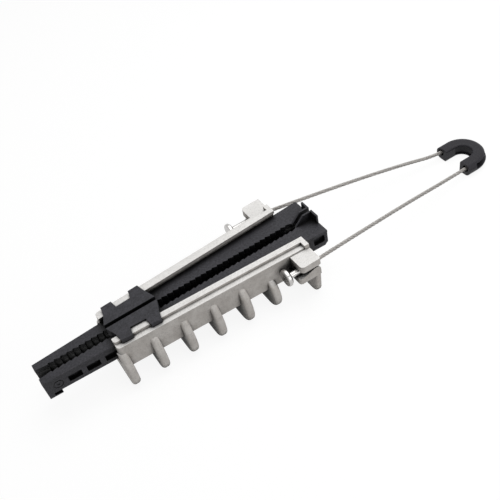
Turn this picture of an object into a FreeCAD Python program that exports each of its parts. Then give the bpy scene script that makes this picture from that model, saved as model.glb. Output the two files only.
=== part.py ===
import FreeCAD, Part
import math
import os
import Sketcher

# Cable anchoring clamp: an open tapered trough cast in aluminium, two toothed
# wedges that hook over its top rails and slide along its walls, and a wire rope
# bail whose two ferrules sit behind slotted ears and whose far bend runs in a saddle.
#
# Working axes: X runs from the narrow end of the wedges towards the bail,
# Z is up from the top face of the wedges, and the cable lies along Y = 0.
# Each piece is then placed so that the clamp stands on Z = 0, centred on X = 0.

DRIVING_SIZES = {
    # wedges
    "wedge_length": 340.0,
    "wedge_narrow_half": 14.8,
    "wedge_slope": 0.0466,
    "wedge_depth": 21.5,
    "jaw_half_gap": 4.8,
    "meeting_half_gap": 2.4,
    "tooth_pitch": 7.0,
    "tooth_depth": 1.8,
    "teeth_start": 14.0,
    "teeth_count": 43,
    "tooth_back": 1.2,
    "cable_groove_radius": 6.4,
    "mouth_flare": 1.7,
    # foot under the narrow end
    "foot_length": 14.5,
    "foot_drop": 5.3,
    "foot_notch_length": 8.5,
    "foot_notch_height": 3.8,
    "foot_notch_depth": 4.0,
    # lightening pockets in the wedge's outer side
    "pocket_first": 25.2,
    "pocket_pitch": 20.6,
    "pocket_count": 13,
    "pocket_length": 14.9,
    "pocket_height": 8.6,
    "pocket_depth": 5.0,
    "pocket_top": 8.2,
    "end_pocket_length": 14.0,
    "end_pocket_height": 10.2,
    "end_pocket_top": 4.8,
    "end_pocket_edge": 4.0,
    "end_pocket_depth": 4.5,
    "end_pocket_corner": 1.8,
    "end_chamfer": 4.0,
    "rim_height": 2.8,
    "rim_step": 0.5,
    "round_mark_place": 14.2,
    "round_mark_level": 11.7,
    "round_mark_radius": 5.5,
    "round_mark_width": 1.2,
    "round_mark_centre": 1.5,
    "round_mark_depth": 0.5,
    # bridge with its two hook lugs
    "bridge_start": 81.0,
    "bridge_length": 60.0,
    "bridge_height": 11.2,
    "hook_drop": 3.6,
    "hook_wall": 2.9,
    "first_lug_start": 6.9,
    "first_lug_width": 12.5,
    "second_lug_start": 40.3,
    "second_lug_width": 11.6,
    "bridge_slant": 5.5,
    "lug_splay": 1.7,
    # cable guide at the wide end
    "guide_height": 11.0,
    "guide_wall": 2.2,
    "guide_plate_half": 14.8,
    "guide_foot": 24.0,
    "guide_crest": 12.8,
    # cast body
    "body_start": 80.0,
    "body_length": 228.5,
    "wall_thickness": 10.8,
    "wall_height": 32.4,
    "ledge_height": 4.8,
    "rail_height": 8.7,
    "rail_thickness": 4.0,
    "rail_width": 6.9,
    "rail_overhang": 2.3,
    "rail_nose": 3.0,
    "wall_nose": 4.0,
    "post_length": 5.6,
    "post_reach": 14.4,
    "wall_clearance": 0.3,
    "floor_clearance": 0.8,
    "hook_clearance": 0.3,
    # ribs
    "rib_lead": 2.0,
    "rib_pitch": 34.9,
    "rib_count": 6,
    "rib_thickness": 9.4,
    "end_rib_thickness": 7.0,
    "rib_round": 3.4,
    "end_rib_round": 2.4,
    "rib_reach": 12.0,
    "rib_crest_depth": 5.5,
    "low_crest_depth": 16.0,
    "rib_tip_depth": 38.0,
    "stand_height": 55.0,
    # ears
    "ear_length": 24.4,
    "ear_half_width": 61.4,
    "ear_top": 2.9,
    "ear_thickness": 9.0,
    "ear_corner": 4.5,
    "ear_end_corner": 1.5,
    "ear_web_half": 45.4,
    "slot_height": 9.0,
    "jaw_half_width": 60.0,
    "jaw_thickness": 7.5,
    "jaw_lead": 3.2,
    "jaw_corner": 3.5,
    "jaw_lip_height": 5.4,
    "jaw_lip_width": 5.0,
    "jaw_lip_flat": 3.0,
    "jaw_lip_round": 5.0,
    "end_rib_lean": 2.0,
    "end_rib_foot_round": 11.0,
    # bail
    "rope_diameter": 4.2,
    "rope_clearance": 0.4,
    "rope_half_span": 50.5,
    "ferrule_start": 268.0,
    "left_end_back": 10.3,
    "flange_radius": 10.0,
    "flange_thickness": 5.5,
    "flange_chamfer": 1.0,
    "flange_cone": 1.8,
    "neck_radius": 3.7,
    "neck_length": 21.5,
    "bore_depth": 8.0,
    "saddle_centre": 570.0,
    "bend_radius": 21.4,
    "bend_slack": 1.6,
    "saddle_inner": 11.8,
    "saddle_outer": 29.0,
    "saddle_height": 16.5,
    "bore_rise": 1.6,
    "saddle_arm": 15.0,
    "saddle_round": 7.8,
    "saddle_edge": 2.6,
    "mouth_radius": 4.4,
    "mouth_depth": 6.0,
    "back_slot_low": 2.5,
    "back_slot_high": 4.0,
    "back_slot_half_angle": 95.0,
    "seat_radius": 13.6,
    "seat_height": 10.6,
}

# The rope's route from one ear to the saddle, chosen by hand: (x, half span, z).
LEG_POINTS = [
    (346.0, 45.7, -15.2),
    (402.0, 39.4, -22.0),
    (460.0, 32.6, -30.0),
    (508.0, 27.0, -38.2),
]
FIRST_BEND_X = 304.0
SADDLE_MOUTH_X = 545.0

doc = FreeCAD.newDocument("cable_anchoring_clamp")
cuts = []


class Size:
    """A length that carries its number and the sheet formula that it comes from."""

    def __init__(self, number, formula):
        self.number = number
        self.formula = formula

    def joined(self, other, sign, number):
        return Size(number, f"({self.formula} {sign} {as_size(other).formula})")

    def __add__(self, other):
        return self.joined(other, "+", self.number + as_size(other).number)

    def __sub__(self, other):
        return self.joined(other, "-", self.number - as_size(other).number)

    def __mul__(self, other):
        return self.joined(other, "*", self.number * as_size(other).number)

    def __truediv__(self, other):
        return self.joined(other, "/", self.number / as_size(other).number)

    def __neg__(self):
        return self * -1


def as_size(value):
    return value if isinstance(value, Size) else Size(float(value), repr(float(value)))


def make_sheet():
    sheet = doc.addObject("Spreadsheet::Sheet", "Sizes")
    for row, (alias, value) in enumerate(DRIVING_SIZES.items(), start=1):
        sheet.set(f"A{row}", alias)
        sheet.set(f"B{row}", str(value))
        sheet.setAlias(f"B{row}", alias)
    doc.recompute()
    return sheet


sheet = make_sheet()


def size(alias):
    return Size(float(sheet.get(alias)), f"Sizes.{alias}")


def number(alias):
    return float(sheet.get(alias))


# Lengths that several pieces share

body_start = size("body_start")
body_end = body_start + size("body_length")
ledge_top = size("ledge_height")
wall_bottom = ledge_top - size("wall_height")
rail_top = size("rail_height")
rail_bottom = rail_top - size("rail_thickness")
floor_top = -size("wedge_depth") - size("floor_clearance")
ground = -size("stand_height")
ear_start = body_end - size("ear_length")
ear_bottom = size("ear_top") - size("ear_thickness")
jaw_top = ear_bottom - size("slot_height")
jaw_bottom = jaw_top - size("jaw_thickness")
rope_height = ear_bottom - size("slot_height") / 2
saddle_height = ground + size("saddle_height") / 2 + size("bore_rise")
overall_length = size("saddle_centre") + size("saddle_outer")


def wedge_half(along):
    """Half width of the wedge pair at a distance from the narrow end."""
    return size("wedge_narrow_half") + size("wedge_slope") * along


def place(piece, x=0.0, y=0.0, z=0.0):
    """Puts a finished piece's own origin at that point of the working axes."""
    piece.setExpression("Placement.Base.x", (as_size(x) - overall_length / 2).formula)
    piece.setExpression("Placement.Base.y", as_size(y).formula)
    piece.setExpression("Placement.Base.z", (as_size(z) + size("stand_height")).formula)


# Sketch and feature helpers

def new_body(label):
    body = doc.addObject("PartDesign::Body", label)
    body.Label = label
    return body


def origin_plane(body, role):
    return next(f for f in body.Origin.OriginFeatures if f.Role == role)


def new_sketch(body, name, role, offset):
    """A sketch on one of the body's own planes, moved off it along the plane's normal."""
    sketch = body.newObject("Sketcher::SketchObject", name)
    sketch.AttachmentSupport = [(origin_plane(body, role), "")]
    sketch.MapMode = "FlatFace"
    sketch.setExpression("AttachmentOffset.Base.z", as_size(offset).formula)
    return sketch


def constrain(sketch, constraints):
    """Adds the constraints; each is paired with the formula of its size, or with None."""
    first = sketch.ConstraintCount
    sketch.addConstraint([constraint for constraint, formula in constraints])
    for index, (constraint, formula) in enumerate(constraints, start=first):
        if formula is not None:
            sketch.setExpression(f"Constraints[{index}]", formula)


def point_at(edge, point, across, up):
    """Ties a point of an edge to its distances from the sketch's origin."""
    distance_x = Sketcher.Constraint("DistanceX", -1, 1, edge, point, across.number)
    distance_y = Sketcher.Constraint("DistanceY", -1, 1, edge, point, up.number)
    return [(distance_x, across.formula), (distance_y, up.formula)]


def radius_of(edge, radius):
    return (Sketcher.Constraint("Radius", edge, radius.number), radius.formula)


def arc_centre(first, last, radius):
    """Centre of the short arc from first to last; a positive radius turns left."""
    chord = last - first
    half = chord.Length / 2
    away = math.sqrt(max(radius * radius - half * half, 0.0))
    left = FreeCAD.Vector(-chord.y, chord.x, 0).normalize()
    return (first + last) / 2 + left * math.copysign(away, radius)


def draw_outline(sketch, corners):
    """A closed outline through corners (across, up), each a Size or a number.

    A third value is the radius of the arc that leads from that corner to the next."""
    corners = [[as_size(value) for value in corner] for corner in corners]
    points = [FreeCAD.Vector(c[0].number, c[1].number, 0) for c in corners]
    drawn = sketch.GeometryCount
    ends = []
    for index, corner in enumerate(corners):
        first, last = points[index], points[(index + 1) % len(points)]
        if len(corner) < 3:
            sketch.addGeometry(Part.LineSegment(first, last), False)
            ends.append((1, 2))
            continue
        turns_left = corner[2].number > 0
        centre = arc_centre(first, last, corner[2].number)
        circle = Part.Circle(centre, FreeCAD.Vector(0, 0, 1), abs(corner[2].number))
        start, end = (first, last) if turns_left else (last, first)
        sketch.addGeometry(
            Part.ArcOfCircle(circle, circle.parameter(start), circle.parameter(end)), False
        )
        ends.append((1, 2) if turns_left else (2, 1))
    constraints = []
    for index, corner in enumerate(corners):
        edge = drawn + index
        start, end = ends[index]
        following = (index + 1) % len(corners)
        joint = (edge, end, drawn + following, ends[following][0])
        constraints.append((Sketcher.Constraint("Coincident", *joint), None))
        constraints += point_at(edge, start, corner[0], corner[1])
        if len(corner) == 3:
            radius = corner[2] if corner[2].number > 0 else -corner[2]
            constraints.append(radius_of(edge, radius))
    constrain(sketch, constraints)


def draw_circle(sketch, across, up, radius):
    across, up, radius = as_size(across), as_size(up), as_size(radius)
    circle = sketch.GeometryCount
    centre = FreeCAD.Vector(across.number, up.number, 0)
    sketch.addGeometry(Part.Circle(centre, FreeCAD.Vector(0, 0, 1), radius.number), False)
    constrain(sketch, point_at(circle, 3, across, up) + [radius_of(circle, radius)])


def add_pad(body, name, corners, low, high, role="XY_Plane"):
    """Adds the outline's prism from low to high along the plane's normal."""
    sketch = new_sketch(body, f"{name}_sketch", role, low)
    draw_outline(sketch, corners)
    pad = body.newObject("PartDesign::Pad", name)
    pad.Profile = sketch
    pad.setExpression("Length", (as_size(high) - low).formula)
    return pad


def add_pocket(body, name, outlines, low, high, role="XY_Plane"):
    """Takes away the outlines' prisms from high down to low along the plane's normal."""
    sketch = new_sketch(body, f"{name}_sketch", role, high)
    for corners in outlines:
        draw_outline(sketch, corners)
    return cut_away(body, name, sketch, as_size(high) - low)


def cut_away(body, name, sketch, depth):
    pocket = body.newObject("PartDesign::Pocket", name)
    pocket.Profile = sketch
    pocket.setExpression("Length", depth.formula)
    cuts.append(pocket)
    return pocket


def add_groove(body, name, corners, role, axis, centre_up=0.0, half_angle=None):
    """Turns the outline about an axis of its sketch and takes the ring away."""
    sketch = new_sketch(body, f"{name}_sketch", role, 0.0)
    sketch.setExpression("AttachmentOffset.Base.y", as_size(centre_up).formula)
    draw_outline(sketch, corners)
    groove = body.newObject("PartDesign::Groove", name)
    groove.Profile = sketch
    groove.ReferenceAxis = (sketch, [axis])
    if half_angle is not None:
        groove.Midplane = True
        groove.setExpression("Angle", f"{half_angle.formula} * 2")
    cuts.append(groove)
    return groove


def mirrored(label, source):
    """The same piece on the other side of the cable."""
    mirror = doc.addObject("Part::Mirroring", label)
    mirror.Source = source
    mirror.Normal = FreeCAD.Vector(0, 1, 0)
    mirror.Label = label
    return mirror


def rectangle(low_x, high_x, low_y, high_y):
    return [(low_x, low_y), (high_x, low_y), (high_x, high_y), (low_x, high_y)]


def rounded_rectangle(low_x, high_x, low_y, high_y, radius):
    return [
        (low_x + radius, low_y),
        (high_x - radius, low_y, radius),
        (high_x, low_y + radius),
        (high_x, high_y - radius, radius),
        (high_x - radius, high_y),
        (low_x + radius, high_y, radius),
        (low_x, high_y - radius),
        (low_x, low_y + radius, radius),
    ]


def strip(start, end, inner, outer, side=1):
    """A strip along the taper: inner and outer are added to the wedge's half width."""
    corners = [
        (start, wedge_half(start) + inner),
        (end, wedge_half(end) + inner),
        (end, wedge_half(end) + outer),
        (start, wedge_half(start) + outer),
    ]
    return corners if side > 0 else other_side(corners, 1)


def nosed_strip(start, end, inner, outer, nose, side):
    """A strip whose start is rounded off on its outer corner."""
    corners = [
        (start, wedge_half(start) + inner),
        (end, wedge_half(end) + inner),
        (end, wedge_half(end) + outer),
        (start + nose, wedge_half(start + nose) + outer, nose),
        (start, wedge_half(start) + outer - nose),
    ]
    return corners if side > 0 else other_side(corners, 1)


def other_side(corners, flipped):
    """The outline with coordinate 0 or 1 flipped, walked so that it turns the same way."""
    result = []
    for index in range(len(corners) - 1, -1, -1):
        corner = [as_size(corners[index][0]), as_size(corners[index][1])]
        corner[flipped] = -corner[flipped]
        result.append(tuple(corner) + tuple(corners[index - 1][2:]))
    return result


def edges_in_plane(shape, position, wanted):
    """Names of the edges that lie in the plane x = position and pass the test."""
    names = []
    for index, edge in enumerate(shape.Edges, start=1):
        box = edge.BoundBox
        if abs(box.XMin - position) < 1e-4 and abs(box.XMax - position) < 1e-4 and wanted(edge):
            names.append(f"Edge{index}")
    return names


# Cast body

def wall_rib_side(middle, top):
    """Half outline of a rib on the wall: foot, tip, then up the crest to the wall."""
    wall = wedge_half(middle) + size("wall_clearance") + size("wall_thickness")
    reach = size("rib_reach")
    tip_height = -size("rib_tip_depth")
    drop = top - tip_height
    crest_radius = (reach * reach + drop * drop) / (reach * 2)
    foot_round = tip_height - ground
    foot = wall + reach - foot_round
    return [
        (foot, ground, foot_round),
        (wall + reach, tip_height, crest_radius),
        (wall, top),
    ]


def end_rib_side():
    """Half outline of the last rib, which comes straight down from the ear's jaw."""
    tip = size("jaw_half_width") - size("end_rib_lean")
    foot_round = size("end_rib_foot_round")
    return [
        (tip - foot_round, ground, foot_round),
        (tip, ground + foot_round),
        (size("jaw_half_width"), jaw_bottom),
        (size("jaw_half_width"), jaw_top - size("jaw_thickness") / 2),
    ]


def make_rib(name, middle, thickness, rounding, side):
    """A transverse fin: under the floor, out past both walls and down to the ground."""
    rib = new_body(name)
    low = middle - thickness / 2
    high = middle + thickness / 2
    inner = wedge_half(middle) + size("wall_clearance") + size("wall_thickness") / 2
    buried = (floor_top + wall_bottom) / 2
    top = side[-1][1]
    bridge = [(inner, top), (inner, buried), (-inner, buried), (-inner, top)]
    outline = side + bridge + other_side(side, 0)
    fin = add_pad(rib, f"{name}_fin", outline, low, high, role="YZ_Plane")
    doc.recompute()

    def outer_edge(edge):
        point = edge.valueAt((edge.FirstParameter + edge.LastParameter) / 2)
        below = point.z < wall_bottom.number - 1
        beyond = abs(point.y) > inner.number + 1 and edge.BoundBox.ZLength > 1
        return below or beyond

    names = []
    for position in (low.number, high.number):
        names += edges_in_plane(fin.Shape, position, outer_edge)
    fillet = rib.newObject("PartDesign::Fillet", f"{name}_round")
    fillet.Base = (fin, names)
    fillet.setExpression("Radius", rounding.formula)
    return rib


def make_ear(body, name, side):
    """The slotted ear that holds one end of the bail, with its jaw and turned up lip."""
    wall = wedge_half(ear_start) + size("wall_thickness") / 2
    jaw_half = size("jaw_half_width")
    pad_half = size("ear_half_width")
    jaw_start = ear_start - size("jaw_lead")
    corner = size("ear_corner")
    end_corner = size("ear_end_corner")
    jaw_corner = size("jaw_corner")
    ear_top = size("ear_top")
    pad = [
        (ear_start, wall),
        (body_end, wall),
        (body_end, pad_half - end_corner, end_corner),
        (body_end - end_corner, pad_half),
        (ear_start + corner, pad_half, corner),
        (ear_start, pad_half - corner),
    ]
    web = rectangle(ear_start, body_end, wall, size("ear_web_half"))
    jaw = [
        (jaw_start, wall),
        (body_end, wall),
        (body_end, jaw_half),
        (jaw_start + jaw_corner, jaw_half, jaw_corner),
        (jaw_start, jaw_half - jaw_corner),
    ]
    blocks = [
        ("pad", pad, ear_bottom, ear_top),
        ("web", web, jaw_bottom, ear_top),
        ("jaw", jaw, jaw_bottom, jaw_top),
    ]
    for part, outline, low, high in blocks:
        if side < 0:
            outline = other_side(outline, 1)
        add_pad(body, f"{name}_{part}", outline, low, high)
    lip_top = jaw_top + size("jaw_lip_height")
    lip_round = size("jaw_lip_round")
    lip = [
        (jaw_start + jaw_corner, jaw_top),
        (jaw_start + jaw_corner, jaw_top - size("jaw_thickness") / 2),
        (body_end, jaw_top - size("jaw_thickness") / 2),
        (body_end, lip_top - lip_round, lip_round),
        (body_end - lip_round, lip_top),
        (body_end - lip_round - size("jaw_lip_flat"), lip_top),
    ]
    lip_inner = jaw_half - size("jaw_lip_width")
    low, high = (-jaw_half, -lip_inner) if side > 0 else (lip_inner, jaw_half)
    add_pad(body, f"{name}_lip", lip, low, high, role="XZ_Plane")


def make_trough():
    """Floor, tapered walls, ledges, overhanging rails, stop posts and ears."""
    trough = new_body("trough")
    clearance = size("wall_clearance")
    outer = clearance + size("wall_thickness")
    middle = clearance + size("wall_thickness") / 2
    floor_outline = [
        (body_start, -(wedge_half(body_start) + middle)),
        (body_end, -(wedge_half(body_end) + middle)),
        (body_end, wedge_half(body_end) + middle),
        (body_start, wedge_half(body_start) + middle),
    ]
    add_pad(trough, "floor", floor_outline, wall_bottom, floor_top)
    rail_outer = size("rail_width") - size("rail_overhang")
    post_outer = size("post_reach") - size("rail_overhang")
    post_start = body_end - size("post_length")
    for name, side in (("left", 1), ("right", -1)):
        wall = nosed_strip(body_start, body_end, clearance, outer, size("wall_nose"), side)
        add_pad(trough, f"wall_{name}", wall, wall_bottom, ledge_top)
        overhang = -size("rail_overhang")
        rail = nosed_strip(body_start, body_end, overhang, rail_outer, size("rail_nose"), side)
        add_pad(trough, f"rail_{name}", rail, rail_bottom, rail_top)
        post = strip(post_start, body_end, rail_outer / 2, post_outer, side)
        add_pad(trough, f"post_{name}", post, size("ear_top"), rail_top)
        make_ear(trough, f"ear_{name}", side)
    return trough


def make_casting():
    """The one casting: trough, ears and every rib, as one solid."""
    pieces = [make_trough()]
    count = int(number("rib_count"))
    thickness = size("rib_thickness")
    for index in range(count):
        middle = body_start - size("rib_lead") + thickness / 2 + size("rib_pitch") * index
        beside_the_bail = index == count - 1
        top = -size("low_crest_depth" if beside_the_bail else "rib_crest_depth")
        side = wall_rib_side(middle, top)
        pieces.append(make_rib(f"rib_{index + 1}", middle, thickness, size("rib_round"), side))
    thickness = size("end_rib_thickness")
    middle = body_end - thickness / 2
    pieces.append(make_rib("end_rib", middle, thickness, size("end_rib_round"), end_rib_side()))
    casting = doc.addObject("Part::MultiFuse", "body_casting")
    casting.Shapes = pieces
    casting.Refine = True
    casting.Label = "body_casting"
    place(casting)
    return casting


# Wedges

def add_bridge(wedge):
    """The raised bridge that crosses the rail as two hook lugs."""
    start = size("bridge_start")
    end = start + size("bridge_length")
    gap = size("meeting_half_gap")
    clearance = size("hook_clearance")
    top = size("bridge_height")
    underside = rail_top + clearance
    shoulder = -size("rail_overhang")
    rail_outer = size("rail_width") - size("rail_overhang")
    hook_inner = rail_outer + clearance
    hook_outer = hook_inner + size("hook_wall")
    hook_bottom = rail_top - size("hook_drop")
    slant = size("bridge_slant")
    core = [
        (start, gap),
        (end, gap),
        (end - slant, wedge_half(end - slant) + shoulder - clearance),
        (start + slant, wedge_half(start + slant) + shoulder - clearance),
    ]
    add_pad(wedge, "bridge_core", core, -size("wedge_depth") / 4, top)
    lugs = []
    for name in ("first", "second"):
        lug_start = start + size(f"{name}_lug_start")
        lugs.append((lug_start, lug_start + size(f"{name}_lug_width")))
    splay = size("lug_splay")
    first, second = lugs
    plate = [
        (start, gap),
        (end, gap),
        (end - slant, wedge_half(end - slant) + shoulder),
        (second[1], wedge_half(second[1]) + hook_outer),
        (second[0], wedge_half(second[0]) + hook_outer),
        (second[0] - splay, wedge_half(second[0] - splay) + shoulder),
        (first[1] + splay, wedge_half(first[1] + splay) + shoulder),
        (first[1], wedge_half(first[1]) + hook_outer),
        (first[0], wedge_half(first[0]) + hook_outer),
        (start + slant, wedge_half(start + slant) + shoulder),
    ]
    add_pad(wedge, "bridge_plate", plate, underside, top)
    for name, (lug_start, lug_end) in zip(("first", "second"), lugs):
        hook = strip(lug_start, lug_end, hook_inner, hook_outer)
        add_pad(wedge, f"{name}_hook", hook, hook_bottom, top)


def add_guide(wedge):
    """The raised end plate and low wall that lead the cable out at the wide end."""
    end = size("wedge_length")
    wall = size("guide_wall")
    height = size("guide_height")
    inner = size("meeting_half_gap")
    plate = rectangle(end - wall, end, inner, size("guide_plate_half"))
    sunk = -size("wedge_depth") / 4
    add_pad(wedge, "guide_plate", plate, sunk, height)
    profile = [
        (end - size("guide_foot"), sunk),
        (end, sunk),
        (end, height),
        (end - size("guide_crest"), height),
        (end - size("guide_foot"), 0.0),
    ]
    add_pad(wedge, "guide_wall", profile, -(inner + wall), -inner, role="XZ_Plane")


def cut_teeth(wedge):
    """Straight teeth on the inner face, then the same teeth turned round the cable."""
    pitch = size("tooth_pitch")
    depth = size("tooth_depth")
    back = size("tooth_back")
    start = size("teeth_start")
    length = size("wedge_length")
    overrun = size("mouth_flare")
    count = int(number("teeth_count"))
    teeth_end = start + pitch * count

    def saw(tip):
        """Mouth, then teeth that rise slowly from each root and drop off steeply."""
        corners = [(-overrun, tip + overrun), (0.0, tip + overrun), (start, tip)]
        for index in range(count):
            near = start + pitch * index
            corners.append((near + back, tip + depth))
            corners.append((near + pitch, tip))
        return corners

    gap = size("meeting_half_gap")
    face = [(-overrun, gap - overrun)] + saw(size("jaw_half_gap"))
    face += [(teeth_end + back, gap), (teeth_end + back, gap - overrun)]
    add_pocket(wedge, "tooth_faces", [face[::-1]], -size("wedge_depth") - size("foot_drop"), 0.0)

    radius = size("cable_groove_radius")
    ring = [(-overrun, 0.0)] + saw(radius)
    ring += [(length + overrun, radius), (length + overrun, 0.0)]
    add_groove(wedge, "cable_groove", ring[::-1], "XZ_Plane", "H_Axis", -size("wedge_depth") / 2)


def cut_pockets(wedge):
    """Lightening pockets along the outer side, the end pocket and the foot's notch."""
    depth = size("pocket_depth")
    spill = size("wall_thickness")
    outlines = []
    for index in range(int(number("pocket_count"))):
        start = size("pocket_first") + size("pocket_pitch") * index
        outlines.append(strip(start, start + size("pocket_length"), -depth, spill))
    top = -size("pocket_top")
    add_pocket(wedge, "side_pockets", outlines, top - size("pocket_height"), top)
    end = size("wedge_length") - size("end_pocket_edge")
    start = end - size("end_pocket_length")
    top = -size("end_pocket_top")
    bottom = top - size("end_pocket_height")
    outline = rounded_rectangle(start, end, bottom, top, size("end_pocket_corner"))
    floor = wedge_half(start) - size("end_pocket_depth")
    add_pocket(wedge, "end_pocket", [outline], -(floor + spill), -floor, role="XZ_Plane")
    foot = size("foot_length")
    outline = strip(foot - size("foot_notch_length"), foot + 1, -size("foot_notch_depth"), spill)
    top = -size("wedge_depth")
    add_pocket(wedge, "foot_notch", [outline], top - size("foot_notch_height"), top)


def cut_marks(wedge):
    """The step under the rim, the plain moulded ring and the chamfer at the wide end."""
    length = size("wedge_length")
    lowest = -size("wedge_depth") - size("foot_drop")
    under_rim = strip(-1.0, length + 1, -size("rim_step"), size("rim_step"))
    add_pocket(wedge, "rim", [under_rim], lowest, -size("rim_height"))
    place_x = size("round_mark_place")
    face = wedge_half(place_x) - size("rim_step")
    sketch = new_sketch(wedge, "round_mark_sketch", "XZ_Plane", -(face - size("round_mark_depth")))
    radius = size("round_mark_radius")
    draw_circle(sketch, place_x, -size("round_mark_level"), radius)
    draw_circle(sketch, place_x, -size("round_mark_level"), radius - size("round_mark_width"))
    draw_circle(sketch, place_x, -size("round_mark_level"), size("round_mark_centre"))
    cut_away(wedge, "round_mark", sketch, size("round_mark_depth") * 3)
    bottom = -size("wedge_depth")
    slope = size("end_chamfer")
    corner = [(length - slope, bottom), (length, bottom), (length, bottom + slope)]
    width = wedge_half(length) * 2
    add_pocket(wedge, "end_chamfer", [corner], -width, 0.0, role="XZ_Plane")


def make_wedge():
    wedge = new_body("wedge_left")
    gap = size("meeting_half_gap")
    length = size("wedge_length")
    depth = size("wedge_depth")
    foot = size("foot_length")
    bar = [(0.0, gap), (length, gap), (length, wedge_half(length)), (0.0, wedge_half(0.0))]
    add_pad(wedge, "bar", bar, -depth, 0.0)
    heel = [(0.0, gap), (foot, gap), (foot, wedge_half(foot)), (0.0, wedge_half(0.0))]
    add_pad(wedge, "foot", heel, -depth - size("foot_drop"), -depth)
    add_bridge(wedge)
    add_guide(wedge)
    cut_pockets(wedge)
    cut_marks(wedge)
    cut_teeth(wedge)
    place(wedge)
    return wedge


# Bail

def ferrule_start(side):
    """The bail hangs a little askew: its left end sits further back behind its ear."""
    return size("ferrule_start") - size("left_end_back") if side > 0 else size("ferrule_start")


def make_ferrule(name, side):
    """A swaged end: flange, neck and the blind bore that holds the rope."""
    ferrule = new_body(name)
    flange = size("flange_radius")
    thickness = size("flange_thickness")
    edge = size("flange_chamfer")
    neck = size("neck_radius")
    end = thickness + size("neck_length")
    bore = size("rope_diameter") / 2 + size("rope_clearance")
    cone = size("flange_cone")
    profile = [
        (0.0, 0.0),
        (end - size("bore_depth"), 0.0),
        (end - size("bore_depth"), bore),
        (end, bore),
        (end, neck),
        (thickness, neck),
        (thickness, flange - cone),
        (thickness - cone, flange),
        (edge, flange),
        (0.0, flange - edge),
    ]
    sketch = new_sketch(ferrule, f"{name}_profile", "XZ_Plane", 0.0)
    draw_outline(sketch, profile)
    turned = ferrule.newObject("PartDesign::Revolution", f"{name}_turned")
    turned.Profile = sketch
    turned.ReferenceAxis = (sketch, ["H_Axis"])
    place(ferrule, ferrule_start(side), size("rope_half_span") * side, rope_height)
    return ferrule


def round_rims(body, name, base, reach, radius_name):
    """Rounds the upper and lower edges of the U wall that lies at that reach."""
    doc.recompute()
    rims = []
    for index, edge in enumerate(base.Shape.Edges, start=1):
        point = edge.valueAt((edge.FirstParameter + edge.LastParameter) / 2)
        away = math.hypot(max(point.x, 0.0), point.y)
        if edge.BoundBox.ZLength < 1e-4 and abs(away - reach.number) < 1e-3:
            rims.append(f"Edge{index}")
    fillet = body.newObject("PartDesign::Fillet", name)
    fillet.Base = (base, rims)
    fillet.setExpression("Radius", f"Sizes.{radius_name}")
    return fillet


def make_saddle():
    """The moulded U that the rope's bend runs through, open in a slot round its back."""
    saddle = new_body("bail_saddle")
    outer = size("saddle_outer")
    inner = size("saddle_inner")
    half = size("saddle_height") / 2
    arm = size("saddle_arm")
    bend = size("bend_radius")
    rope_bore = size("rope_diameter") / 2 + size("rope_clearance")
    outline = [
        (-arm, -outer),
        (0.0, -outer, outer),
        (outer, 0.0, outer),
        (0.0, outer),
        (-arm, outer),
        (-arm, inner),
        (0.0, inner, -inner),
        (inner, 0.0, -inner),
        (0.0, -inner),
        (-arm, -inner),
    ]
    middle = -size("bore_rise")
    block = add_pad(saddle, "saddle_block", outline, middle - half, middle + half)
    shoulder = round_rims(saddle, "outer_rims", block, outer, "saddle_round")
    round_rims(saddle, "inner_rims", shoulder, inner, "saddle_edge")
    seat = size("seat_radius")
    seat_half = size("seat_height") / 2
    ring = rectangle(0.0, seat, middle - seat_half, middle + seat_half)
    add_groove(saddle, "seat", ring, "XZ_Plane", "V_Axis", half_angle=as_size(90.0))
    slot = rectangle(bend, outer * 2, -size("back_slot_low"), size("back_slot_high"))
    turn = size("back_slot_half_angle")
    add_groove(saddle, "back_slot", slot, "XZ_Plane", "V_Axis", half_angle=turn)
    channel = new_sketch(saddle, "rope_channel_sketch", "XZ_Plane", 0.0)
    draw_circle(channel, bend, 0.0, rope_bore)
    turn = saddle.newObject("PartDesign::Groove", "rope_channel")
    turn.Profile = channel
    turn.ReferenceAxis = (channel, ["V_Axis"])
    turn.Midplane = True
    turn.Angle = 180.0
    cuts.append(turn)
    for name, side in (("left", 1), ("right", -1)):
        hole = new_sketch(saddle, f"arm_bore_{name}_sketch", "YZ_Plane", 0.0)
        draw_circle(hole, bend * side, 0.0, rope_bore)
        cut_away(saddle, f"arm_bore_{name}", hole, arm * 2)
        mouth = new_sketch(saddle, f"arm_mouth_{name}_sketch", "YZ_Plane", size("mouth_depth") - arm)
        draw_circle(mouth, bend * side, 0.0, size("mouth_radius"))
        cut_away(saddle, f"arm_mouth_{name}", mouth, arm)
    place(saddle, size("saddle_centre"), 0.0, saddle_height)
    return saddle


def rope_route():
    """Corners of the route from the left ferrule to the right, each with its arc's radius.

    A radius of None is as large as the corner's two runs allow."""
    span = number("rope_half_span")
    bend = number("bend_radius")
    centre = number("saddle_centre") + number("bend_slack")
    seat = size("flange_thickness") + size("neck_length") - size("bore_depth")
    beside = bend * math.tan(math.radians(22.5))
    corners = [(FIRST_BEND_X, span, rope_height.number, None)]
    corners += [(*point, None) for point in LEG_POINTS]
    corners.append((SADDLE_MOUTH_X, bend, saddle_height.number, None))
    corners.append((centre + beside, bend, saddle_height.number, bend))
    corners.append((centre + bend, beside, saddle_height.number, bend))
    corners += [(x, -y, z, radius) for x, y, z, radius in corners[::-1]]
    left_seat = ((ferrule_start(1) + seat).number, span, rope_height.number, None)
    right_seat = ((ferrule_start(-1) + seat).number, -span, rope_height.number, None)
    route = [left_seat] + corners + [right_seat]
    return [(FreeCAD.Vector(*point), radius) for *point, radius in route]


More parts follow.
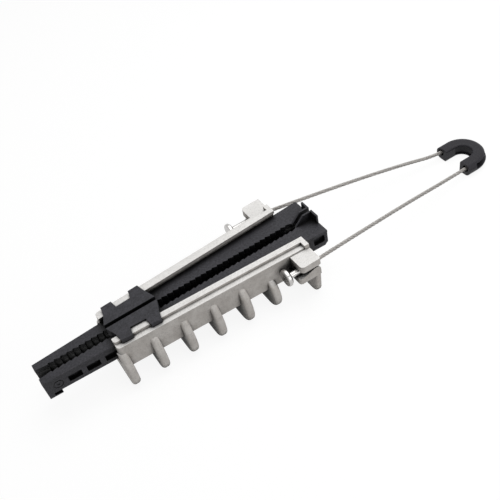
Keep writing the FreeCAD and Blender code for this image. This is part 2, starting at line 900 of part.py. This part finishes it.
def rope_line(route):
    """Straight runs joined by tangent arcs."""
    edges = []
    radii = []
    here = route[0][0]
    for (before, _), (corner, radius), (after, _) in zip(route, route[1:], route[2:]):
        way_in = (corner - before).normalize()
        way_out = (after - corner).normalize()
        half_turn = way_in.getAngle(way_out) / 2
        shorter = min((corner - before).Length, (after - corner).Length)
        radius = radius or 0.45 * shorter / math.tan(half_turn)
        tangent = radius * math.tan(half_turn)
        first = corner - way_in * tangent
        last = corner + way_out * tangent
        inward = (way_out - way_in).normalize()
        middle = corner + inward * (radius / math.cos(half_turn) - radius)
        if (first - here).Length > 1e-6:
            edges.append(Part.LineSegment(here, first).toShape())
        edges.append(Part.Arc(first, middle, last).toShape())
        radii.append(radius)
        here = last
    edges.append(Part.LineSegment(here, route[-1][0]).toShape())
    print("rope radii, mm:", [round(radius, 1) for radius in radii])
    return Part.Wire(edges)


def make_rope():
    """The wire rope as a plain tube along its route."""
    route = rope_route()
    line = rope_line(route)
    radius = number("rope_diameter") / 2
    start = route[0][0]
    ring = Part.Wire([Part.makeCircle(radius, start, route[1][0] - start)])
    tube = line.makePipeShell([ring], True, True)
    section = math.pi * radius * radius
    print("rope length, mm:", round(line.Length, 1))
    print("rope volume against section x length:", round(tube.Volume / (section * line.Length), 5))
    rope = doc.addObject("Part::Feature", "bail_rope")
    rope.Label = "bail_rope"
    rope.Shape = tube
    place(rope)
    return rope


# The whole clamp

def make_clamp():
    wedge = make_wedge()
    return [
        make_casting(),
        wedge,
        mirrored("wedge_right", wedge),
        make_rope(),
        make_ferrule("ferrule_left", 1),
        make_ferrule("ferrule_right", -1),
        make_saddle(),
    ]


def check(pieces):
    """Stops if any feature failed, a cut took nothing, or a piece isn't one valid solid."""
    for thing in doc.Objects:
        if "Invalid" in thing.State or "Error" in thing.State:
            raise RuntimeError(f"{thing.Name} failed: {thing.State}")
    for cut in cuts:
        if cut.BaseFeature.Shape.Volume - cut.Shape.Volume < 0.01:
            raise RuntimeError(f"{cut.Name} cuts nothing")
    for piece in pieces:
        shape = piece.Shape
        if shape.isNull() or not shape.isValid() or len(shape.Solids) != 1:
            raise RuntimeError(f"{piece.Label} isn't one valid solid")


pieces = make_clamp()
doc.recompute()
check(pieces)
os.makedirs("parts", exist_ok=True)
for piece in pieces:
    piece.Shape.exportStep(f"parts/{piece.Label}.step")
    print(piece.Label, "volume, cm3:", round(piece.Shape.Volume / 1000, 1))
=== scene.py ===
import math

import bpy
from mathutils import Matrix, Vector


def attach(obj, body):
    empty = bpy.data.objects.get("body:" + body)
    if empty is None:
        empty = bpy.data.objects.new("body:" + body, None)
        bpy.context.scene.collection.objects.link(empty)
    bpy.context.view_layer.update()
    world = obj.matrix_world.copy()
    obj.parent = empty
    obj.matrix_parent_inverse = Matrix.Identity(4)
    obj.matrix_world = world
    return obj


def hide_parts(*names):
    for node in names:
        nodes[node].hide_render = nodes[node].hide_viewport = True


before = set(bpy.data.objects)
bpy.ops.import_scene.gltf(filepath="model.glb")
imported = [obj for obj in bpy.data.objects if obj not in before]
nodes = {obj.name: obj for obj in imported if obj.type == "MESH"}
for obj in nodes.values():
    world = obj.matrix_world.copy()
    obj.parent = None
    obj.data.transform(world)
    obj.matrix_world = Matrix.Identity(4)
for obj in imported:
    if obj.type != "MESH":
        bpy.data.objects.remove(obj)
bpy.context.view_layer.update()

# The rope's route, in metres, with the same values as the solid tube

HALF_SPAN = 0.0505
SLOT_HEIGHT = 0.0444
LEFT_SEAT_X = -0.0228
RIGHT_SEAT_X = -0.0125
FIRST_BEND_X = 0.0045
BEND_RADIUS = 0.0214
BEND_X = 0.2721
SADDLE_HEIGHT = 0.00985

# Half a side of the octagon that the bend's control points lie on

BEND_CORNER = BEND_RADIUS * math.tan(math.pi / 8)

ROPE_LEG = [
    (FIRST_BEND_X, HALF_SPAN, SLOT_HEIGHT),
    (0.0465, 0.0457, 0.0398),
    (0.1025, 0.0394, 0.0330),
    (0.1605, 0.0326, 0.0250),
    (0.2085, 0.0270, 0.0168),
    (0.2455, BEND_RADIUS, SADDLE_HEIGHT),
    (BEND_X + BEND_CORNER, BEND_RADIUS, SADDLE_HEIGHT),
    (BEND_X + BEND_RADIUS, BEND_CORNER, SADDLE_HEIGHT),
]

# The rope's strands, in metres: crests a little proud of the plain tube, valleys below it

STRAND_COUNT = 6
STRAND_RADIUS = 0.00070
STRAND_CREST = 0.0022
STRAND_CORNERS = 8
CORE_RADIUS = 0.00122
CORE_CORNERS = 10
ROPE_LAY = 0.033
RING_STEP = 0.0016
SPLINE_SAMPLES = 32
SHORTEST_RUN = 1e-9

# Rounded edges, in metres, and what counts as flat or as sharp, in degrees

CASTING_EDGE = 0.0010
SADDLE_EDGE = 0.0016
FINE_EDGE = 0.0003
FLAT_ANGLE = 0.5
SHARP_ANGLE = 35.0

# Colours of each finish, from its dark places to its pale ones

# The casting's two colours differ partly by rubbing on its tops and partly by painted light:
# tops painted paler, sides painted darker as shade
CAST_SHADED_SIDE_SKIN = [(0.53, 0.500, 0.470), (0.61, 0.581, 0.551), (0.69, 0.663, 0.634)]
CAST_TOP_LIT_RUBBED = [(0.75, 0.738, 0.720), (0.82, 0.808, 0.790), (0.88, 0.870, 0.855)]
WEDGE_BLACK = [(0.035, 0.035, 0.041), (0.049, 0.048, 0.055)]
SADDLE_BLACK = [(0.009, 0.008, 0.012), (0.014, 0.013, 0.018)]
ROPE_GREY = [(0.37, 0.352, 0.334), (0.49, 0.469, 0.448)]
FERRULE_GREY = [(0.44, 0.43, 0.42), (0.56, 0.55, 0.54)]

# Where on a noise, from 0 to 1, a finish reaches each of its values

SHADED_SIDE_SKIN_LEVELS = (0.34, 0.50, 0.66)
TOP_LIT_RUBBED_LEVELS = (0.32, 0.55, 0.75)
TONE_LEVELS = (0.3, 0.7)
PIT_LEVELS = (0.34, 0.50)
SPECK_LEVELS = (0.36, 0.66)

# How far up a face looks, from 0 to 1, where rubbing and the painted top light start and where
# they are full

TOP_LIGHT_AND_RUBBING_LEVELS = (0.55, 0.92)

# Rays that each point sends out to find the corners and hollows round it, for the painted shade
# there

PAINTED_SHADE_RAYS = 8

# Studio levels, and the lamps' places and sizes in metres with their power in watts

SKY_LIGHT = 0.10
FLOOR_ALBEDO = 0.55
FLOOR_SHOWN = 0.16
FLOOR_GLOW = 0.90
FLOOR_REACH = 6.0
BACKGROUND_RAYS = ("Camera", "Glossy", "Transmission")
OFF_AND_ON = (0.0, 1.0)

KEY_PLACE = (0.38, 0.16, 1.40)
KEY_SIZE = 1.6
KEY_POWER = 15.2
FILL_PLACE = (0.65, -1.25, 0.70)
FILL_SIZE = 0.9
FILL_POWER = 4.9

# Camera: the photograph's viewpoint, in the clamp's own frame

CAMERA_PLACE = Vector((-0.261045, -0.512536, 0.631293))
CAMERA_RIGHT = Vector((0.83140, -0.53274, -0.15801))
CAMERA_UP = Vector((0.48363, 0.55370, 0.67788))
CAMERA_LENS = 52.566
SENSOR_WIDTH = 36.0
NEAREST_SEEN = 0.01
FURTHEST_SEEN = 20.0

# Sockets of the colour mix node, which share their names and so go by number

MIX_FACTOR = 0
MIX_FIRST = 6
MIX_SECOND = 7
MIX_RESULT = 2


def put_in_scene(name, data):
    thing = bpy.data.objects.new(name, data)
    bpy.context.scene.collection.objects.link(thing)
    return thing


def make_camera():
    data = bpy.data.cameras.new("camera")
    data.lens = CAMERA_LENS
    data.sensor_width = SENSOR_WIDTH
    data.clip_start = NEAREST_SEEN
    data.clip_end = FURTHEST_SEEN
    camera = put_in_scene("camera", data)
    back = CAMERA_RIGHT.cross(CAMERA_UP)
    turn = Matrix((CAMERA_RIGHT, CAMERA_UP, back)).transposed()
    camera.matrix_world = Matrix.Translation(CAMERA_PLACE) @ turn.to_4x4()
    bpy.context.scene.camera = camera


# Node helpers

def new_material(name):
    material = bpy.data.materials.new(name)
    material.use_nodes = True
    tree = material.node_tree
    shader = tree.nodes["Principled BSDF"]
    return material, tree, shader


def add_node(tree, kind, **values):
    """A new node, with each value set on the socket or setting of that name."""
    node = tree.nodes.new(kind)
    for name, value in values.items():
        if name in node.inputs:
            node.inputs[name].default_value = value
        else:
            setattr(node, name, value)
    return node


def object_place(tree):
    return tree.nodes.new("ShaderNodeTexCoord").outputs["Object"]


def noise(tree, place, scale, detail=3.0, roughness=0.5):
    node = add_node(tree, "ShaderNodeTexNoise", Scale=scale, Detail=detail, Roughness=roughness)
    tree.links.new(place, node.inputs["Vector"])
    return node.outputs["Fac"]


def greys(*values):
    return [(value, value, value) for value in values]


def ramp(tree, factor, levels, colours):
    """The colours, each where the factor reaches its level, and blended between."""
    node = tree.nodes.new("ShaderNodeValToRGB")
    elements = node.color_ramp.elements
    while len(elements) < len(levels):
        elements.new(levels[-1])
    for element, level, colour in zip(elements, levels, colours):
        element.position = level
        element.color = (*colour, 1.0)
    tree.links.new(factor, node.inputs["Fac"])
    return node.outputs["Color"]


def blend(tree, factor, first, second):
    """The first colour where the factor is 0, the second where it is 1."""
    node = add_node(tree, "ShaderNodeMix", data_type="RGBA")
    tree.links.new(factor, node.inputs[MIX_FACTOR])
    tree.links.new(first, node.inputs[MIX_FIRST])
    tree.links.new(second, node.inputs[MIX_SECOND])
    return node.outputs[MIX_RESULT]


def times(tree, first, second):
    node = add_node(tree, "ShaderNodeMix", data_type="RGBA", blend_type="MULTIPLY")
    node.inputs[MIX_FACTOR].default_value = 1.0
    tree.links.new(first, node.inputs[MIX_FIRST])
    tree.links.new(second, node.inputs[MIX_SECOND])
    return node.outputs[MIX_RESULT]


def painted_crevice_shade(tree, reach, darkest, shut=0.25, open_from=0.85):
    """Painted shade: a grey that falls to the darkest value in corners and hollows within
    reach.
    """
    node = add_node(tree, "ShaderNodeAmbientOcclusion", Distance=reach, samples=PAINTED_SHADE_RAYS)
    return ramp(tree, node.outputs["AO"], (shut, open_from), greys(darkest, 1.0))


def bump(tree, height, strength, distance, normal=None):
    node = add_node(tree, "ShaderNodeBump", Strength=strength, Distance=distance)
    tree.links.new(height, node.inputs["Height"])
    if normal is not None:
        tree.links.new(normal, node.inputs["Normal"])
    return node.outputs["Normal"]


def colour_shader(tree, shader, colour, tone, smoothest, roughest):
    """Gives a shader its colour, and a roughness that follows the tone's noise."""
    tree.links.new(colour, shader.inputs["Base Color"])
    rough = ramp(tree, tone, TONE_LEVELS, greys(smoothest, roughest))
    tree.links.new(rough, shader.inputs["Roughness"])


# Materials

def facing_up(tree):
    """How far a surface faces up on the object: 1 on top faces, 0 on its sides."""
    normal = tree.nodes.new("ShaderNodeNewGeometry").outputs["True Normal"]
    turned = add_node(
        tree,
        "ShaderNodeVectorTransform",
        vector_type="NORMAL",
        convert_from="WORLD",
        convert_to="OBJECT",
    )
    tree.links.new(normal, turned.inputs["Vector"])
    split = tree.nodes.new("ShaderNodeSeparateXYZ")
    tree.links.new(turned.outputs["Vector"], split.inputs["Vector"])
    return split.outputs["Z"]


def cast_aluminium():
    """Cast aluminium: tops paler, partly from rubbing and partly painted top light, grainy
    sides painted darker as shade, fine pits, and painted shade in corners and between the ribs.
    """
    material, tree, shader = new_material("blasted_aluminium")
    place = object_place(tree)
    blotch = noise(tree, place, scale=70.0, detail=5.0, roughness=0.65)
    shaded_side_skin = ramp(tree, blotch, SHADED_SIDE_SKIN_LEVELS, CAST_SHADED_SIDE_SKIN)
    top_lit_rubbed = ramp(tree, blotch, TOP_LIT_RUBBED_LEVELS, CAST_TOP_LIT_RUBBED)
    # Painted light: faces that point up get the paler colour and the sides the darker one,
    # besides the rubbing on the tops
    painted_top_light = ramp(tree, facing_up(tree), TOP_LIGHT_AND_RUBBING_LEVELS, greys(0.0, 1.0))
    colour = blend(tree, painted_top_light, shaded_side_skin, top_lit_rubbed)
    pits = noise(tree, place, scale=620.0, roughness=0.7)
    colour = times(tree, colour, ramp(tree, pits, PIT_LEVELS, greys(0.82, 1.0)))
    # Painted shade in tight corners, such as where the ledge meets the rail
    colour = times(tree, colour, painted_crevice_shade(tree, reach=0.003, darkest=0.65))
    # Painted shade under the body and between the ribs
    shade_between_ribs = painted_crevice_shade(tree, reach=0.035, darkest=0.02, shut=0.33, open_from=0.66)
    colour = times(tree, colour, shade_between_ribs)
    colour_shader(tree, shader, colour, blotch, smoothest=0.58, roughest=0.70)
    shader.inputs["Metallic"].default_value = 0.4
    shader.inputs["Specular IOR Level"].default_value = 0.05
    waves = noise(tree, place, scale=320.0, roughness=0.6)
    coarse = bump(tree, waves, strength=0.35, distance=0.0004)
    grain = noise(tree, place, scale=1500.0, detail=2.0, roughness=0.6)
    fine = bump(tree, grain, strength=0.5, distance=0.0002, normal=coarse)
    tree.links.new(fine, shader.inputs["Normal"])
    return material


def wedge_plastic():
    """Glass-filled black plastic, satin, with a speckled moulded grain."""
    material, tree, shader = new_material("wedge_plastic")
    place = object_place(tree)
    cloud = noise(tree, place, scale=45.0, detail=4.0, roughness=0.55)
    colour = ramp(tree, cloud, TONE_LEVELS, WEDGE_BLACK)
    fibres = noise(tree, place, scale=400.0, roughness=0.75)
    colour = times(tree, colour, ramp(tree, fibres, SPECK_LEVELS, greys(0.66, 1.5)))
    # Painted shade in the wedge's channel, pockets and other hollows
    painted_hollow_shade = painted_crevice_shade(tree, reach=0.022, darkest=0.03, shut=0.52, open_from=0.88)
    colour = times(tree, colour, painted_hollow_shade)
    colour_shader(tree, shader, colour, cloud, smoothest=0.42, roughest=0.54)
    shader.inputs["Specular IOR Level"].default_value = 0.20
    grain = noise(tree, place, scale=1100.0, detail=2.0)
    tree.links.new(bump(tree, grain, strength=0.6, distance=0.0003), shader.inputs["Normal"])
    return material


def saddle_plastic():
    """The saddle's tougher, slightly warmer and smoother plastic."""
    material, tree, shader = new_material("saddle_plastic")
    place = object_place(tree)
    cloud = noise(tree, place, scale=60.0)
    colour = ramp(tree, cloud, TONE_LEVELS, SADDLE_BLACK)
    # Painted shade in the saddle's slot and inner corners
    colour = times(tree, colour, painted_crevice_shade(tree, reach=0.008, darkest=0.20))
    colour_shader(tree, shader, colour, cloud, smoothest=0.40, roughest=0.52)
    shader.inputs["Specular IOR Level"].default_value = 0.26
    grain = noise(tree, place, scale=900.0, detail=2.0)
    tree.links.new(bump(tree, grain, strength=0.2, distance=0.0002), shader.inputs["Normal"])
    return material


def rope_steel():
    """Drawn stainless wire, with painted shade between its strands."""
    material, tree, shader = new_material("rope_steel")
    tone = noise(tree, object_place(tree), scale=260.0, detail=2.0)
    colour = ramp(tree, tone, TONE_LEVELS, ROPE_GREY)
    # Painted shade in the valleys between the strands
    colour = times(tree, colour, painted_crevice_shade(tree, reach=0.0010, darkest=0.05))
    colour_shader(tree, shader, colour, tone, smoothest=0.45, roughest=0.60)
    shader.inputs["Metallic"].default_value = 0.5
    return material


def ferrule_steel():
    """Turned stainless steel, bright, with small changes of tone and gloss."""
    material, tree, shader = new_material("ferrule_steel")
    tone = noise(tree, object_place(tree), scale=180.0, detail=2.0)
    colour = ramp(tree, tone, TONE_LEVELS, FERRULE_GREY)
    colour_shader(tree, shader, colour, tone, smoothest=0.22, roughest=0.34)
    shader.inputs["Metallic"].default_value = 1.0
    return material


# Surfaces of the solids

def paint(node, material):
    mesh = nodes[node].data
    mesh.materials.clear()
    mesh.materials.append(material)


def soften(node, width, segments=2, clamped=True):
    """Flat faces made whole, then every sharp edge rounded off."""
    piece = nodes[node]
    whole = piece.modifiers.new("whole_faces", "DECIMATE")
    whole.decimate_type = "DISSOLVE"
    whole.angle_limit = math.radians(FLAT_ANGLE)
    edge = piece.modifiers.new("rounded_edges", "BEVEL")
    edge.width = width
    edge.segments = segments
    edge.limit_method = "ANGLE"
    edge.angle_limit = math.radians(SHARP_ANGLE)
    edge.harden_normals = True
    edge.use_clamp_overlap = clamped


# Rope

def rope_points():
    left_seat = (LEFT_SEAT_X, HALF_SPAN, SLOT_HEIGHT)
    right_seat = (RIGHT_SEAT_X, -HALF_SPAN, SLOT_HEIGHT)
    other_leg = [(x, -y, z) for x, y, z in reversed(ROPE_LEG)]
    return [left_seat] + ROPE_LEG + other_leg + [right_seat]


def rope_line():
    """Points of the rope's smooth centre line, read from one spline through its route."""
    curve = bpy.data.curves.new("rope_line", "CURVE")
    curve.dimensions = "3D"
    curve.resolution_u = SPLINE_SAMPLES
    spline = curve.splines.new("NURBS")
    points = rope_points()
    spline.points.add(len(points) - 1)
    for point, place in zip(spline.points, points):
        point.co = (*place, 1.0)
    spline.order_u = 3
    spline.use_endpoint_u = True
    holder = put_in_scene("rope_line", curve)
    mesh = bpy.data.meshes.new_from_object(holder)
    line = [vertex.co.copy() for vertex in mesh.vertices]
    bpy.data.objects.remove(holder)
    bpy.data.meshes.remove(mesh)
    return line


def evenly(line, step):
    """Places along the line about a step apart, and the line's length."""
    lengths = [0.0]
    for before, after in zip(line, line[1:]):
        lengths.append(lengths[-1] + (after - before).length)
    total = lengths[-1]
    count = round(total / step)
    places = []
    index = 0
    for number in range(count + 1):
        target = total * number / count
        while index < len(line) - 2 and lengths[index + 1] < target:
            index += 1
        run = max(lengths[index + 1] - lengths[index], SHORTEST_RUN)
        part = min((target - lengths[index]) / run, 1.0)
        places.append(line[index].lerp(line[index + 1], part))
    return places, total


def frames_along(places):
    """A pair of side directions at each place that doesn't twist along the line."""
    side = Vector((0.0, 0.0, 1.0))
    frames = []
    for index in range(len(places)):
        before = places[max(index - 1, 0)]
        after = places[min(index + 1, len(places) - 1)]
        forward = (after - before).normalized()
        side = (side - forward * side.dot(forward)).normalized()
        frames.append((side, forward.cross(side)))
    return frames


def tube(vertices, faces, places, frames, radius, corners):
    """Adds a tube round the places to the lists of vertices and faces."""
    first = len(vertices)
    for place, (side, other) in zip(places, frames):
        for corner in range(corners):
            angle = 2.0 * math.pi * corner / corners
            to_side = side * (radius * math.cos(angle))
            to_other = other * (radius * math.sin(angle))
            vertices.append(place + to_side + to_other)
    for ring in range(len(places) - 1):
        for corner in range(corners):
            near = first + ring * corners
            here = near + corner
            there = near + (corner + 1) % corners
            faces.append((here, there, there + corners, here + corners))
    last = first + (len(places) - 1) * corners
    faces.append(tuple(first + corner for corner in range(corners))[::-1])
    faces.append(tuple(last + corner for corner in range(corners)))


def strand_path(places, frames, step, start):
    """One strand's centre line, wound round the rope's own from a starting angle."""
    path = []
    for index, (place, (side, other)) in enumerate(zip(places, frames)):
        angle = start + 2.0 * math.pi * index * step / ROPE_LAY
        out = side * math.cos(angle) + other * math.sin(angle)
        path.append(place + out * (STRAND_CREST - STRAND_RADIUS))
    return path


def make_rope(material):
    """Six strands laid round a core, all following the rope's centre line."""
    line = rope_line()
    places, total = evenly(line, RING_STEP)
    frames = frames_along(places)
    step = total / (len(places) - 1)
    vertices = []
    faces = []
    tube(vertices, faces, places, frames, CORE_RADIUS, CORE_CORNERS)
    for strand in range(STRAND_COUNT):
        start = 2.0 * math.pi * strand / STRAND_COUNT
        path = strand_path(places, frames, step, start)
        tube(vertices, faces, path, frames_along(path), STRAND_RADIUS, STRAND_CORNERS)
    mesh = bpy.data.meshes.new("wire_rope")
    mesh.from_pydata([tuple(vertex) for vertex in vertices], [], faces)
    mesh.shade_smooth()
    mesh.materials.append(material)
    rope = put_in_scene("wire_rope", mesh)
    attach(rope, "bail")
    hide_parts("bail_rope")


# Studio

def seen_by(tree, kinds):
    """1 for rays of those kinds and 0 for the rest."""
    rays = tree.nodes.new("ShaderNodeLightPath")
    seen = rays.outputs[f"Is {kinds[0]} Ray"]
    for kind in kinds[1:]:
        either = add_node(tree, "ShaderNodeMath", operation="MAXIMUM")
        tree.links.new(seen, either.inputs[0])
        tree.links.new(rays.outputs[f"Is {kind} Ray"], either.inputs[1])
        seen = either.outputs["Value"]
    return seen


def make_floor():
    """A pale floor: white to the eye and in reflections, with the object's soft shadow."""
    sides = (-FLOOR_REACH, FLOOR_REACH)
    corners = [(x, y, 0.0) for y in sides for x in sides]
    mesh = bpy.data.meshes.new("floor")
    mesh.from_pydata(corners, [], [(0, 1, 3, 2)])
    material, tree, shader = new_material("floor")
    seen = seen_by(tree, BACKGROUND_RAYS)
    shown = ramp(tree, seen, OFF_AND_ON, greys(FLOOR_ALBEDO, FLOOR_SHOWN))
    tree.links.new(shown, shader.inputs["Base Color"])
    shader.inputs["Roughness"].default_value = 0.9
    shader.inputs["Specular IOR Level"].default_value = 0.0
    shader.inputs["Emission Color"].default_value = (1.0, 1.0, 1.0, 1.0)
    glow = add_node(tree, "ShaderNodeMath", operation="MULTIPLY")
    tree.links.new(seen, glow.inputs[0])
    glow.inputs[1].default_value = FLOOR_GLOW
    tree.links.new(glow.outputs["Value"], shader.inputs["Emission Strength"])
    mesh.materials.append(material)
    put_in_scene("floor", mesh)


def make_world():
    """A dim even sky, white to the eye and in reflections."""
    world = bpy.data.worlds.new("studio")
    world.use_nodes = True
    tree = world.node_tree
    seen = seen_by(tree, BACKGROUND_RAYS)
    shown = ramp(tree, seen, OFF_AND_ON, greys(SKY_LIGHT, 1.0))
    tree.links.new(shown, tree.nodes["Background"].inputs["Color"])
    bpy.context.scene.world = world


def make_lamp(name, place, size, power):
    """A square soft lamp that looks at the frame's origin, under the clamp."""
    data = bpy.data.lights.new(name, "AREA")
    data.shape = "SQUARE"
    data.size = size
    data.energy = power
    lamp = put_in_scene(name, data)
    aim = (-Vector(place)).to_track_quat("-Z", "Y")
    lamp.matrix_world = Matrix.Translation(place) @ aim.to_matrix().to_4x4()


make_camera()

casting_finish = cast_aluminium()
wedge_finish = wedge_plastic()
saddle_finish = saddle_plastic()
ferrule_finish = ferrule_steel()
paint("body_casting", casting_finish)
soften("body_casting", CASTING_EDGE, segments=3, clamped=False)
paint("bail_saddle", saddle_finish)
soften("bail_saddle", SADDLE_EDGE, segments=4, clamped=False)
for hand in ("left", "right"):
    paint(f"wedge_{hand}", wedge_finish)
    soften(f"wedge_{hand}", FINE_EDGE)
    paint(f"ferrule_{hand}", ferrule_finish)
    soften(f"ferrule_{hand}", FINE_EDGE)

make_rope(rope_steel())
make_floor()
make_world()
make_lamp("key", KEY_PLACE, KEY_SIZE, KEY_POWER)
make_lamp("fill", FILL_PLACE, FILL_SIZE, FILL_POWER)

bpy.context.scene.view_settings.view_transform = "Standard"
